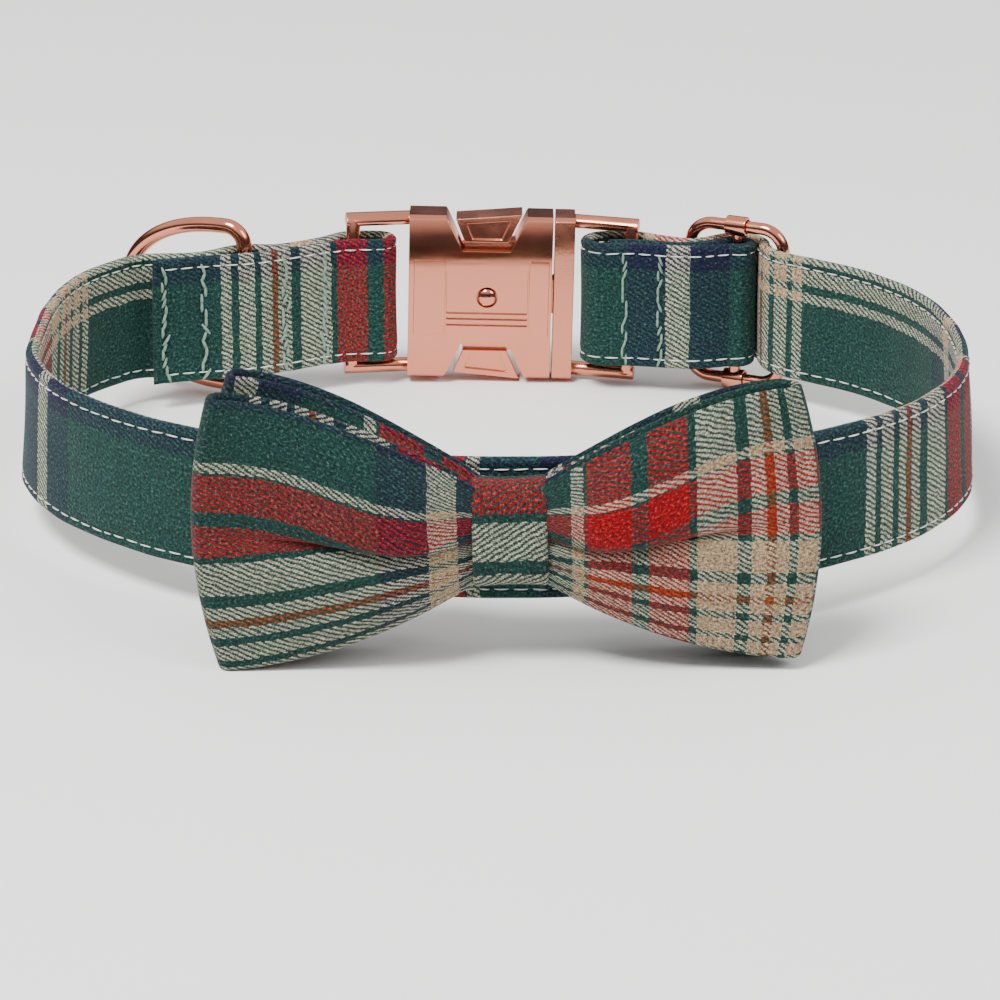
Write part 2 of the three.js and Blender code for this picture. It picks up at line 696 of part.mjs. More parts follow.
const slider = new THREE.Group();
slider.position.set(sliderBar.x, sliderBar.y, strapWidth / 2 - sliderDrop);
slider.rotation.z = -degrees(sliderTurn);
slider.add(
  named('slider_frame', wireRing(sliderOutline(), sliderWire / 2), roseGold()),
  named('slider_bar', sliderBarBody(), roseGold()),
);
collar.add(slider);

const bow = new THREE.Group();
bow.position.set(bowAcross, -bowStack, bowRise);
bow.rotation.y = -degrees(bowTurn);
const rearBow = named('rear_bow', bowLoop((bowLength - rearShorter) / 2, 1), cloth(0x2b3350));
rearBow.rotation.y = degrees(rearTurn);
const waistPleat = pleatDepth * wing('pleat', knotWidth / bowLength);
const knot = named(
  'bow_knot',
  band(waistHalf + gap + clothSlack + waistPleat / 2, bowWaistHeight / 2 + 2 * gap, knotCloth, knotWidth, knotCorner),
  cloth(0xd8cba8),
);
knot.position.y = -waistPleat / 2;
bow.add(named('front_bow', bowLoop(bowLength / 2, -1), cloth(0x8a2a35)), rearBow, knot);
collar.add(bow);

for (const [name, side] of [['elastic_loop_left', -1], ['elastic_loop_right', 1]]) {
  const onStrap = frontOfOval(bowAcross + (side * elasticSpacing) / 2);
  const loop = named(
    name,
    band(clothOver, strapWidth / 2 + gap, elasticCloth, elasticWidth, elasticCorner),
    cloth(0x23302c),
  );
  loop.position.set(onStrap.x, onStrap.y, strapWidth / 2);
  loop.rotation.z = onStrap.turn;
  collar.add(loop);
}

// The collar lies on its lower edge: it is tipped so that the bow's lowest corner in front and the metal's
// lowest point behind meet the same surface, then set over the middle of its own box.
function lowest(...meshes) {
  collar.updateMatrixWorld(true);
  const point = new THREE.Vector3();
  const low = new THREE.Vector3(0, 0, Infinity);
  for (const mesh of meshes) {
    const position = mesh.geometry.attributes.position;
    for (let i = 0; i < position.count; i += 1) {
      point.fromBufferAttribute(position, i).applyMatrix4(mesh.matrixWorld);
      if (point.z < low.z) low.copy(point);
    }
  }
  return low;
}

const front = lowest(...bow.children);
const behind = lowest(...slider.children, leashRing, ...buckle.children);
collar.rotation.x = -Math.atan((behind.z - front.z) / (behind.y - front.y));

const group = new THREE.Group();
group.add(collar);
const box = new THREE.Box3().setFromObject(group, true);
const middle = box.getCenter(new THREE.Vector3());
collar.position.set(-middle.x, -middle.y, -box.min.z);

export default group;
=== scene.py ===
import json
import math

import bmesh
import bpy
import numpy as np
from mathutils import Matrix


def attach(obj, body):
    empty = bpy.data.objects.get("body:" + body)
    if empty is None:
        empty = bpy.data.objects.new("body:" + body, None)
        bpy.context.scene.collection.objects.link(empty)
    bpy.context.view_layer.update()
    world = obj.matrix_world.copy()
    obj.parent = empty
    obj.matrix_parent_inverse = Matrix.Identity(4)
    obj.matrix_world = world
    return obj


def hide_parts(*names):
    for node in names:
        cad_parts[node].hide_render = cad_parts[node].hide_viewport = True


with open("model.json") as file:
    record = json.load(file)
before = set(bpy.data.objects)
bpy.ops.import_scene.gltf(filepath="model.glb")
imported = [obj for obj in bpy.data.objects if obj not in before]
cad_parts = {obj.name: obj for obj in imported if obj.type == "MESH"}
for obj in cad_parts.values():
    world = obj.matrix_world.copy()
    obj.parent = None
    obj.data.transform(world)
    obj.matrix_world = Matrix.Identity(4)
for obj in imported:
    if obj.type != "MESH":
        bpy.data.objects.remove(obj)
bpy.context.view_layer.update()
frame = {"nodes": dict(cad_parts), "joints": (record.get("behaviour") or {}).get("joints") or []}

# The lie of the collar. It stands on the bow's lower corners and the slider's bar, and leans by a degree.
# Places on it are in mm in its own frame: X across, Y towards the buckle, Z up the strap's width, zero at
# the strap's lower edge in the loop's middle. The leash ring's hinge ties that frame to the part.
ring_hinge = {joint["name"]: joint for joint in frame["joints"]}["leash_ring_swing"]
ring_hinge_on_collar = [-48.9, 58.6, 13.15]
collar_up = -np.array(ring_hinge["axis"])
collar_axes = np.array([[1, 0, 0], [0, collar_up[2], -collar_up[1]], collar_up])


def placed(points):
    """Points on the collar in mm, turned by the collar's lean about X and moved to the hinge, in metres."""
    return np.array(ring_hinge["pos_m"]) + (np.asarray(points) - ring_hinge_on_collar) @ collar_axes / 1000


# The strap: 25 mm webbing covered in brushed cotton twill, woven in a green, navy, cream and red plaid.
# The cloth is folded round both edges and top-stitched in white. The strap runs from a flap at the leash
# ring, through the buckle's left bar, round the front, and back through the slider and the right bar.
strap_width = 25.0
strap_thickness = 2.2
half_width = 84.2
front_depth = 62.6
back_depth = 66.0
upper_edge_lean = 4.0
layer_gap = 0.45
fullness = {"front_right": 2.1, "back_right": 2.45, "back_left": 3.6, "front_left": 1.87}
buckle_bars = {"left": np.array([-28.5, 68.0]), "right": np.array([25.9, 68.0])}
buckle_ends = {"left": -17.5, "right": 14.9}
fold_clear_of_buckle = {"left": 2.3, "right": 1.4}
bar_wire = 2.8
ring_bar = np.array([-48.9, 58.6])
ring_wire = 3.0
slider_middle = np.array([46.7, 64.4])
slider_turn = 25.0
slider_wire = 2.4
slider_half = 9.75
cloth_over = strap_thickness / 2 + layer_gap
layer_step = strap_thickness + layer_gap
flap_seams = [
    {"across": -67.1, "back": 52.1, "facing": 24, "lift": 1.2},
    {"across": -64.7, "back": 52.6, "facing": 22, "lift": 0},
    {"across": -57.5, "back": 54.8, "facing": 24, "lift": 0},
]
flap_seams_by_buckle = [
    {"across": -42.1, "back": 60.2, "facing": 26, "lift": 0.6},
    {"across": -34.7, "back": 64.35, "facing": 30, "lift": 0.5},
]


def beside(point, facing, distance):
    """A point moved by a distance the way it faces, in degrees clockwise from straight back."""
    angle = math.radians(facing)
    return np.add(point, [distance * math.sin(angle), distance * math.cos(angle)])


def fold_of_cloth(middle, radius, start, end, steps):
    """Points on an arc about a middle, from one facing to another."""
    return [beside(middle, start + (end - start) * i / steps, radius) for i in range(steps + 1)]


def on_oval(bearing):
    """The strap's oval: a superellipse with its own power in each quarter, at bearings from +X to +Y."""
    c, s = np.cos(np.radians(bearing)), np.sin(np.radians(bearing))
    front = np.where(c < 0, fullness["front_left"], fullness["front_right"])
    back = np.where(c < 0, fullness["back_left"], fullness["back_right"])
    power = 2 / np.where(s < 0, front, back)
    x = np.sign(c) * half_width * np.abs(c) ** power
    y = np.sign(s) * np.where(s < 0, front_depth, back_depth) * np.abs(s) ** power
    return np.stack([x, y], axis=-1)


def strap_points():
    """The points that the strap's middle line passes in plan, from the flap's free end to the other end."""
    bar = bar_wire / 2 + cloth_over
    seams, seams_by_buckle = (
        [(np.array([r["across"], r["back"]]), -r["facing"], (layer_step + r["lift"]) / 2) for r in rows]
        for rows in (flap_seams, flap_seams_by_buckle)
    )
    layers = [
        *seams,
        (ring_bar, -20, ring_wire / 2 + cloth_over),
        *seams_by_buckle,
        (buckle_bars["left"], -6, bar),
    ]
    near = [beside(middle, facing, -half) for middle, facing, half in layers]
    outer = [beside(middle, facing, half) for middle, facing, half in layers[2:]][::-1]
    outer.insert(1, beside(buckle_bars["left"], -38, bar))
    left_end = buckle_ends["left"] - fold_clear_of_buckle["left"] - strap_thickness / 2 - bar
    left_fold = fold_of_cloth([left_end, buckle_bars["left"][1]], bar, 180, 0, 6)
    oval = list(on_oval(np.arange(135, 409, 7)))

    turned = math.radians(slider_turn)
    along = np.array([math.cos(turned), -math.sin(turned)])
    by_wire = slider_wire / 2 + cloth_over + 0.15
    round_bar = slider_wire / 2 + cloth_over
    outer_right = beside(slider_middle + along * slider_half, 48, -by_wire)
    outer_fold = fold_of_cloth(slider_middle, round_bar + layer_step, 100, -20, 6)
    outer_left = beside(slider_middle - along * slider_half, 0, -by_wire)
    right_bar = buckle_bars["right"]
    flap_left, near_left = outer_left - [0, layer_step], outer_left - [0, 2 * layer_step]
    flap_bar = right_bar - [0, bar]
    near_bar = flap_bar - [0, layer_step]
    radius = (right_bar[1] + bar - near_bar[1]) / 2
    right_end = buckle_ends["right"] + fold_clear_of_buckle["right"]
    right_middle = np.array([right_end + strap_thickness / 2 + radius, near_bar[1] + radius])
    right_fold = fold_of_cloth(right_middle, radius, 0, -180, 8)
    slider_fold = fold_of_cloth(slider_middle, round_bar, 180 + slider_turn, -20, 8)
    return np.array([
        *near, *left_fold, *outer, *oval, outer_right, *outer_fold, outer_left,
        beside(right_bar, 36, bar), right_bar + [0, bar], *right_fold, near_bar, near_left,
        *slider_fold, flap_left, flap_bar, [right_middle[0], flap_bar[1]],
    ])


def smooth_line(points, step):
    """A centripetal Catmull-Rom curve through the points, as points an even step apart."""
    p = np.vstack([2 * points[0] - points[1], points, 2 * points[-1] - points[-2]])
    before, start, end, after = p[:-3], p[1:-2], p[2:-1], p[3:]
    t0, t1, t2 = (np.sqrt(np.linalg.norm(b - a, axis=1))[:, None]
                  for a, b in ((before, start), (start, end), (end, after)))
    leave = ((start - before) / t0 - (end - before) / (t0 + t1) + (end - start) / t1) * t1
    arrive = ((end - start) / t1 - (after - start) / (t1 + t2) + (after - end) / t2) * t1
    t = np.linspace(0, 1, 24, endpoint=False)[:, None, None]
    line = (start + leave * t + (3 * (end - start) - 2 * leave - arrive) * t ** 2
            + (2 * (start - end) + leave + arrive) * t ** 3)
    line = np.vstack([line.transpose(1, 0, 2).reshape(-1, points.shape[1]), points[-1]])
    run = np.concatenate([[0], np.cumsum(np.linalg.norm(np.diff(line, axis=0), axis=1))])
    even = np.linspace(0, run[-1], int(run[-1] / step) + 1)
    return np.stack([np.interp(even, run, line[:, k]) for k in range(line.shape[1])], axis=1), even


def square_to(line):
    """Unit directions square to a plan line, on its right, the side that faces out of the loop."""
    ahead = np.gradient(line, axis=0)
    ahead /= np.linalg.norm(ahead, axis=1, keepdims=True)
    return np.stack([ahead[:, 1], -ahead[:, 0]], axis=1)


def skin(name, grid, cloth_at, closed_rows=False, end_caps=False):
    """A mesh of quads on a grid of points in mm on the collar, joined round its columns.

    cloth_at holds each face's four corners in the cloth's own millimetres, as its UV map."""
    rows, columns = grid.shape[:2]
    i, j = np.meshgrid(np.arange(rows if closed_rows else rows - 1), np.arange(columns), indexing="ij")
    i2, j2 = (i + 1) % rows, (j + 1) % columns
    quads = np.stack([i * columns + j, i * columns + j2, i2 * columns + j2, i2 * columns + j], -1)
    quads = quads.reshape(-1, 4)
    corners = cloth_at.reshape(-1, 4, 2)
    if end_caps:
        k = np.arange(columns // 2 - 1)
        first = np.stack([k + 1, k, columns - 1 - k, columns - 2 - k], -1)
        last = (rows - 1) * columns + first[:, ::-1]
        quads = np.vstack([quads, first, last])
        corners = np.vstack([corners, np.zeros((2 * len(k), 4, 2))])
    points = placed(grid.reshape(-1, 3))
    a, b, c, d = (points[quads[:, n]] for n in range(4))
    volume = np.einsum("ij,ij->i", a, np.cross(b, c)).sum() + np.einsum("ij,ij->i", a, np.cross(c, d)).sum()
    if volume < 0:
        quads, corners = quads[:, ::-1], corners[:, ::-1]
    mesh = bpy.data.meshes.new(name)
    mesh.from_pydata(points.tolist(), [], quads.tolist())
    mesh.polygons.foreach_set("use_smooth", np.ones(len(quads), bool))
    mesh.uv_layers.new(name="cloth").data.foreach_set("uv", corners.astype(np.float32).ravel())
    piece = bpy.data.objects.new(name, mesh)
    bpy.context.scene.collection.objects.link(piece)
    return piece


def linear(hex_colour):
    """An sRGB hex colour as linear red, green, blue and alpha."""
    shares = [int(hex_colour[i:i + 2], 16) / 255 for i in (1, 3, 5)]
    return [s / 12.92 if s <= 0.04045 else ((s + 0.055) / 1.055) ** 2.4 for s in shares] + [1]


def add(tree, kind, inputs, **settings):
    """Adds a node of a kind with its settings; each input is a value or the output that feeds it.
    Returns its first output, if it has one."""
    made = tree.nodes.new("ShaderNode" + kind)
    for name, value in settings.items():
        setattr(made, name, value)
    for name, value in inputs.items():
        if isinstance(value, bpy.types.NodeSocket):
            tree.links.new(value, made.inputs[name])
        else:
            made.inputs[name].default_value = value
    return made.outputs[0] if made.outputs else None


# The plaid's bands in mm, the same for warp and weft, from the red pair to the narrow cream line before
# the next red pair.
sett = [
    ("red", 6.8), ("green", 2.4), ("red", 6.8), ("green", 1.2), ("cream", 6.6), ("green", 2.3),
    ("cream", 2.4), ("brown", 1.3), ("cream", 2.4), ("green", 1.3), ("cream", 3.2), ("green", 1.2),
    ("cream", 2.2), ("green", 39.0), ("navy", 7.8), ("cream", 4.2), ("navy", 7.8), ("green", 10.0),
    ("cream", 2.4), ("green", 0.6),
]
sett_repeat = sum(width for _, width in sett)
yarn_colours = {
    "red": "#a00512", "green": "#1c3f39", "cream": "#b3b29b", "brown": "#8a4518", "navy": "#1a2038",
}
yarn_pitch = 0.25


def plaid_twill(name, lean, depth):
    """Brushed cotton 2/2 twill, woven in the sett. Yarns 0.25 mm apart cross in diagonal ribs that lean to
    the right or left; the nap makes it matt, softly mottled and a little hazy at grazing angles. Each yarn
    on top is painted darker towards its edges, painted shade between the yarns, and a little lighter on its
    crown, a painted highlight. depth is the share of full colour that the cloth is given; where it is lower
    than the strap's, the cloth is a darker copy with painted shade."""
    material = bpy.data.materials.new(name)
    material.use_nodes = True
    tree = material.node_tree
    tree.nodes.clear()
    cloth = add(tree, "UVMap", {}, uv_map="cloth")
    wander = add(tree, "TexNoise", {"Vector": cloth, "Scale": 0.5, "Detail": 2.0})
    shift = wander.node.outputs["Color"]
    shift = add(tree, "VectorMath", {0: shift, 1: (0.5, 0.5, 0.5)}, operation="SUBTRACT")
    shift = add(tree, "VectorMath", {0: shift, "Scale": 0.9}, operation="SCALE")
    moved = add(tree, "VectorMath", {0: cloth, 1: shift}, operation="ADD")
    counted = add(tree, "VectorMath", {0: moved, 1: (1 / yarn_pitch,) * 3}, operation="MULTIPLY")
    whole = add(tree, "VectorMath", {0: counted}, operation="FLOOR")
    yarn = add(tree, "SeparateXYZ", {0: whole}).node.outputs
    exact = add(tree, "SeparateXYZ", {0: counted}).node.outputs

    colours = []
    for axis in (0, 1):
        share = add(tree, "Math", {0: yarn[axis], 1: yarn_pitch / sett_repeat}, operation="MULTIPLY")
        share = add(tree, "Math", {0: share}, operation="FRACT")
        ramp = add(tree, "ValToRGB", {0: share})
        bands = ramp.node.color_ramp
        bands.interpolation = "CONSTANT"
        start = 0.0
        for n, (colour, width) in enumerate(sett):
            stop = bands.elements[n] if n < 2 else bands.elements.new(start / sett_repeat)
            stop.position = start / sett_repeat
            stop.color = linear(yarn_colours[colour])
            start += width
        tone = add(tree, "TexWhiteNoise", {"W": yarn[axis]}, noise_dimensions="1D")
        tone = add(tree, "MapRange", {0: tone, 3: 0.86, 4: 1.14})
        colours.append(add(tree, "HueSaturation", {"Color": ramp, "Value": tone}))

    step = add(tree, "Math", {0: exact[0], 1: 0.62 * lean, 2: yarn[1]}, operation="MULTIPLY_ADD")
    step = add(tree, "Math", {0: step, 1: 0.25}, operation="MULTIPLY")
    rib = add(tree, "Math", {0: step}, operation="FRACT")
    weft_on_top = add(tree, "Math", {0: rib, 1: 0.5}, operation="LESS_THAN")
    shown = add(tree, "MapRange", {0: weft_on_top, 3: 0.06, 4: 0.95})
    beside_yarn = [add(tree, "Math", {0: exact[axis]}, operation="PINGPONG") for axis in (0, 1)]
    for edge in beside_yarn:
        edge.node.inputs[1].default_value = 0.5
    # Painted shade and highlight: the yarn on top is darkened towards its edges, as shade between the yarns,
    # and lightened a little on its crown.
    top_yarn_edge_distance = add(tree, "Mix", {0: weft_on_top, 2: beside_yarn[0], 3: beside_yarn[1]})
    painted_yarn_shade = add(tree, "MapRange", {0: top_yarn_edge_distance, 1: 0.0, 2: 0.32, 3: 0.45, 4: 1.1})
    woven = add(tree, "Mix", {0: shown, 6: colours[0], 7: colours[1]}, data_type="RGBA").node.outputs[2]

    blue = [add(tree, "SeparateColor", {0: colour}).node.outputs["Blue"] for colour in colours]
    both_cream = add(tree, "Math", {0: blue[0], 1: blue[1]}, operation="MULTIPLY")
    both_cream = add(tree, "MapRange", {0: both_cream, 1: 0.03, 2: 0.07})
    woven = add(tree, "Mix", {0: both_cream, 6: woven, 7: linear("#ffdcc8")}, data_type="RGBA",
                blend_type="MULTIPLY").node.outputs[2]

    nap = add(tree, "TexNoise", {"Vector": cloth, "Scale": 1.9, "Detail": 3.0, "Roughness": 0.7})
    worn = add(tree, "TexNoise", {"Vector": cloth, "Scale": 0.16, "Detail": 3.0})
    # depth scales this mottled value, so a depth below the strap's paints shade into a darker copy of the
    # cloth.
    mottle = add(tree, "MapRange", {0: nap, 1: 0.36, 2: 0.64, 3: 0.3 * depth, 4: 1.75 * depth})
    patch = add(tree, "MapRange", {0: worn, 1: 0.3, 2: 0.7, 3: 0.93, 4: 1.08})
    value = add(tree, "Math", {0: mottle, 1: patch}, operation="MULTIPLY")
    value = add(tree, "Math", {0: value, 1: painted_yarn_shade}, operation="MULTIPLY")
    toned = add(tree, "HueSaturation", {"Color": woven, "Value": value})
    fleck = add(tree, "MapRange", {0: nap, 1: 0.58, 2: 0.7, 3: 0.0, 4: 0.11})
    flecked = add(tree, "Mix", {0: fleck, 6: toned, 7: linear("#c9d2c4")}, data_type="RGBA").node.outputs[2]

    ridge = add(tree, "Math", {0: rib, 1: 0.5}, operation="SUBTRACT")
    ridge = add(tree, "Math", {0: ridge}, operation="ABSOLUTE")
    raised = add(tree, "Math", {0: nap, 1: 1.2, 2: ridge}, operation="MULTIPLY_ADD")
    bump = add(tree, "Bump", {"Strength": 0.55, "Distance": 0.00022, "Height": raised})
    surface = add(tree, "BsdfPrincipled", {
        "Base Color": flecked, "Roughness": 0.9, "Specular IOR Level": 0.1, "Sheen Weight": 0.05,
        "Sheen Roughness": 0.55, "Normal": bump,
    })
    add(tree, "OutputMaterial", {"Surface": surface})
    return material


strap_twill = plaid_twill("brushed_cotton_plaid_twill", -1.0, 0.85)

route, run = smooth_line(strap_points(), 0.8)
outward = square_to(route)
flap_turn = np.argmax(np.where(run < 110, route[:, 0], -np.inf))
buckle_turn = np.argmin(np.where(run > 400, route[:, 0], np.inf))
slider_end = buckle_turn + np.argmax(route[buckle_turn:, 0])


def run_at(across, first, last):
    """The distance along the strap where it is that far across, between two stations of its line."""
    return run[first + np.argmin(np.abs(route[first:last, 0] - across))]


front_stations = np.where(route[:, 1] < -40)[0]
red_edge = run_at(-5.1, front_stations[0], front_stations[-1])
green_edge = run_at(-53.3, 0, flap_turn)
cream_line = run_at(35.3, buckle_turn, slider_end)
# Where the plaid starts on each stretch: along the strap, and up its outer and its inner face
stretches = [
    {"until": run[flap_turn], "along": 40.1 + green_edge, "outer": (59.1, 1), "inner": (109.1, -1)},
    {"until": run[buckle_turn], "along": red_edge, "outer": (59.1, 1), "inner": (56.5, -1)},
    {"until": run[-1] + 1, "along": 89 + cream_line, "outer": (59.1, 1), "inner": (109.1, -1)},
]

stitch_in = 1.9
face_heights = np.linspace(1.0, strap_width - 1.0, 49)
edge_turn = np.radians(np.linspace(0, 180, 9)[1:-1])


def strap_section():
    """The strap's section: out of its middle line by half its thickness, with half-round folded edges and
    a shallow groove along each row of top-stitching. Returns each point's place out and its height, and
    the height that the cloth has there, which goes on along the arc round both edges."""
    groove = sum(np.exp(-((face_heights - at) / 0.5) ** 2) for at in (stitch_in, strap_width - stitch_in))
    face = strap_thickness / 2 - 0.2 * groove
    out = np.concatenate([face, 1.1 * np.cos(edge_turn), -face[::-1], -1.1 * np.cos(edge_turn)])
    height = np.concatenate([
        face_heights, strap_width - 1 + np.sin(edge_turn), face_heights[::-1], 1 - np.sin(edge_turn),
    ])
    rise = strap_thickness / 2 * np.minimum(edge_turn, np.pi - edge_turn)
    laid = np.concatenate([face_heights, strap_width - 1 + rise, face_heights[::-1], 1 - rise])
    return out, height, laid


def on_strap(station, out, height):
    """Points of the strap: its line at a station, moved out across it and up, and leaning in above at both
    ends of the loop in proportion to the height over its middle."""
    x, y = route[station, 0], route[station, 1]
    lean = -np.sign(x) * math.tan(math.radians(upper_edge_lean)) * np.minimum(np.abs(x) / half_width, 1) ** 6
    return np.stack([
        x + outward[station, 0] * out + lean * (height - strap_width / 2),
        y + outward[station, 1] * out,
        height + 0 * x,
    ], axis=-1)


def strap_cloth():
    """The strap's section carried along its line, thinned to a round end at both ends, with a slow wander
    of a tenth of a millimetre and pinched along the flap's rows of stitching."""
    out, height, laid = strap_section()
    from_end = np.minimum(run, run[-1] - run)
    round_end = np.sqrt(np.clip(1 - (1 - from_end / 1.1).clip(0) ** 2, 0.0004, 1))
    seams = [run_at(r["across"], 0, flap_turn) for r in flap_seams[1:] + flap_seams_by_buckle]
    pinch = 0.32 * sum(np.exp(-((run - seam) / 0.7) ** 2) for seam in seams)
    wander = 0.07 * np.sin(run / 3.7) + 0.05 * np.sin(run / 1.9 + 1)
    station = np.arange(len(run))[:, None]
    depth = out * round_end[:, None] + wander[:, None] * np.cos(height / 4) - (out > 0) * pinch[:, None]
    grid = on_strap(station, depth, height)

    faces = len(face_heights)
    first_inner = faces + len(edge_turn) // 2
    column = np.arange(len(height))
    following = (column + 1) % len(height)
    is_outer = (column < first_inner) | (column >= len(height) - len(edge_turn) // 2 - 1)
    middle = (run[:-1] + run[1:]) / 2
    which = np.searchsorted([s["until"] for s in stretches], middle)
    along = np.array([s["along"] for s in stretches])[which]
    up = [np.where(is_outer, np.array([s["outer"][k] for s in stretches])[which][:, None],
                   np.array([s["inner"][k] for s in stretches])[which][:, None]) for k in (0, 1)]
    low, high = laid[column], laid[following]
    here, there = along - run[:-1], along - run[1:]
    corners = [(here, low), (here, high), (there, high), (there, low)]
    cloth_at = np.stack([
        np.stack(np.broadcast_arrays(a[:, None], up[0] + up[1] * h), axis=-1) for a, h in corners
    ], axis=2)
    return skin("strap_cloth", grid, cloth_at, end_caps=True)


strap = strap_cloth()
strap.data.materials.append(strap_twill)
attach(strap, "collar")
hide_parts("collar_strap")

# Sewing thread: a white running top-stitch near both edges, and thick sage rows that sew the strap's
# layers together beside the leash ring and by the slider. Each stitch is a short raised loop of thread.


def stitches(name, starts, ends, away, thickness, rise):
    """One mesh of stitches: each a six-sided tube from start to end, arched by rise the way it stands away
    from the cloth as a half sine, and thinned to its ends."""
    t = np.array([0, 0.12, 0.32, 0.5, 0.68, 0.88, 1])
    middle = starts[:, None] + (ends - starts)[:, None] * t[None, :, None]
    middle = middle + away[:, None] * (rise * (np.sin(np.pi * t) ** 0.6 - 0.55))[None, :, None]
    ahead = (ends - starts) / np.linalg.norm(ends - starts, axis=1, keepdims=True)
    side = np.cross(ahead, away)
    angle = np.linspace(0, 2 * np.pi, 6, endpoint=False)
    radius = thickness / 2 * np.maximum(np.sin(np.pi * t), 0.12) ** 0.35
    ring = (np.cos(angle)[:, None] * side[:, None] + np.sin(angle)[:, None] * away[:, None])
    points = middle[:, :, None] + ring[:, None] * radius[None, :, None, None]
    count, rings, sides = points.shape[:3]
    i, j = np.meshgrid(np.arange(rings - 1), np.arange(sides), indexing="ij")
    quad = np.stack([i * sides + j, i * sides + (j + 1) % sides, (i + 1) * sides + (j + 1) % sides,
                     (i + 1) * sides + j], -1).reshape(-1, 4)
    base = (np.arange(count) * rings * sides)[:, None]
    faces = (base[:, :, None] + quad).reshape(-1, 4).tolist()
    faces += (base + np.arange(sides)[::-1]).tolist()
    faces += (base + (rings - 1) * sides + np.arange(sides)).tolist()
    mesh = bpy.data.meshes.new(name)
    mesh.from_pydata(placed(points.reshape(-1, 3)).tolist(), [], faces)
    mesh.polygons.foreach_set("use_smooth", np.ones(len(faces), bool))
    piece = bpy.data.objects.new(name, mesh)
    bpy.context.scene.collection.objects.link(piece)
    tidy = bmesh.new()
    tidy.from_mesh(mesh)
    bmesh.ops.recalc_face_normals(tidy, faces=tidy.faces)
    tidy.to_mesh(mesh)
    tidy.free()
    return piece


def sewing_thread(name, colour):
    """Spun polyester thread: two plies twisted, each turn about 0.6 mm, matt with a faint gloss."""
    material = bpy.data.materials.new(name)
    material.use_nodes = True
    tree = material.node_tree
    tree.nodes.clear()
    place = add(tree, "TexCoord", {}).node.outputs["Object"]
    plies = add(tree, "TexNoise", {"Vector": place, "Scale": 1 / 0.0006, "Detail": 2.0})
    tone = add(tree, "MapRange", {0: plies, 1: 0.3, 2: 0.7, 3: 0.8, 4: 1.12})
    toned = add(tree, "HueSaturation", {"Color": linear(colour), "Value": tone})
    bump = add(tree, "Bump", {"Strength": 0.5, "Distance": 0.0001, "Height": plies})
    surface = add(tree, "BsdfPrincipled", {
        "Base Color": toned, "Roughness": 0.65, "Sheen Weight": 0.15, "Normal": bump,
    })
    add(tree, "OutputMaterial", {"Surface": surface})
    return material


white_thread = sewing_thread("white_spun_polyester_thread", "#d3d8d0")
sage_thread = sewing_thread("sage_spun_polyester_thread", "#74907f")
random = np.random.default_rng(7)
topstitch_length = 2.3
topstitch_pitch = 3.1


def strap_direction(station, side):
    """The way that the strap's outer face, or with side -1 its inner face, looks at a station."""
    return np.stack([outward[station, 0] * side, outward[station, 1] * side, 0 * run[station]], axis=-1)


def topstitch():
    """Stitches 2.3 mm long every 3.1 mm along both edges and both faces of the strap."""
    starts, ends, away = [], [], []
    begin = np.arange(2.0, run[-1] - 5, topstitch_pitch)
    for side in (1, -1):
        for height in (stitch_in, strap_width - stitch_in):
            jitter = random.normal(0, 0.05, (2, len(begin)))
            first = np.searchsorted(run, begin)
            last = np.searchsorted(run, begin + topstitch_length)
            out = side * (strap_thickness / 2 - 0.05)
            starts.append(on_strap(first, out, height + jitter[0]))
            ends.append(on_strap(last, out, height + jitter[1]))
            away.append(strap_direction((first + last) // 2, side))
    return stitches("strap_topstitch", np.vstack(starts), np.vstack(ends), np.vstack(away), 0.3, 0.14)


def seam_rows(name, runs, thickness, length, spread):
    """Rows of thick stitches up the width of the strap at given distances along it, on its outer face."""
    starts, ends, away = [], [], []
    low = np.arange(0.4, strap_width - 0.3 - length, length * 0.72)
    for at in runs:
        wobble = random.normal(0, spread, (2, len(low)))
        first = np.searchsorted(run, at + wobble[0])
        last = np.searchsorted(run, at + wobble[1])
        starts.append(on_strap(first, strap_thickness / 2, low))
        ends.append(on_strap(last, strap_thickness / 2, low + length))
        away.append(strap_direction(first, 1))
    return stitches(name, np.vstack(starts), np.vstack(ends), np.vstack(away), thickness, 0.3)


flap_rows = [run_at(r["across"], 0, flap_turn) for r in flap_seams[1:] + flap_seams_by_buckle]
slider_rows = [run_at(across, buckle_turn, slider_end) for across in (24.1, 31.4)]
for piece, thread in (
    (topstitch(), white_thread),
    (seam_rows("flap_seam_rows", flap_rows, 0.62, 2.1, 0.42), sage_thread),
    (seam_rows("near_layer_seam_rows", slider_rows, 0.5, 2.2, 0.12), sage_thread),
):
    piece.data.materials.append(thread)
    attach(piece, "collar")

# The bow: two flattened loops of the same twill, one before the other, each a ring of doubled cloth that
# is open above and below. Both are gathered under the knot, where one deep pleat runs out between two
# soft lobes and fades before the wing's end.
bow_half_length = 51.4
bow_end_height = 47.0
bow_waist_height = 16.0
bow_waist_drop = 1.7
bow_middle = np.array([2.1, -69.55, 16.5])
bow_turn = -1.3
bow_cloth = 1.4
bow_end_bulge = 3.3
bow_opening = 1.1
bow_closed = 0.85
bow_loop_gap = 1.1
pleat_depth = 5.4
pleat_hidden = 9.0
pleat_overhang = 2.7
crease_width = 0.1
right_wing_share = 0.978
# Where the plaid lies on the bow in mm: its height at the wing's middle and from there to an edge, its rise
# from the knot to a wing's end, and how much of it lies along each mm of the loop, fitted to the real bands
plaid_at_middle = 125.5
plaid_to_edge = 25.7
plaid_slant = 1.25
plaid_along = 0.957

# The bow's cloth is a darker copy of the strap's, at 0.6 of full colour against 0.85: painted shade.
bow_twill_painted_shade = plaid_twill("brushed_cotton_plaid_twill_bow_painted_shade", -1.0, 0.6)


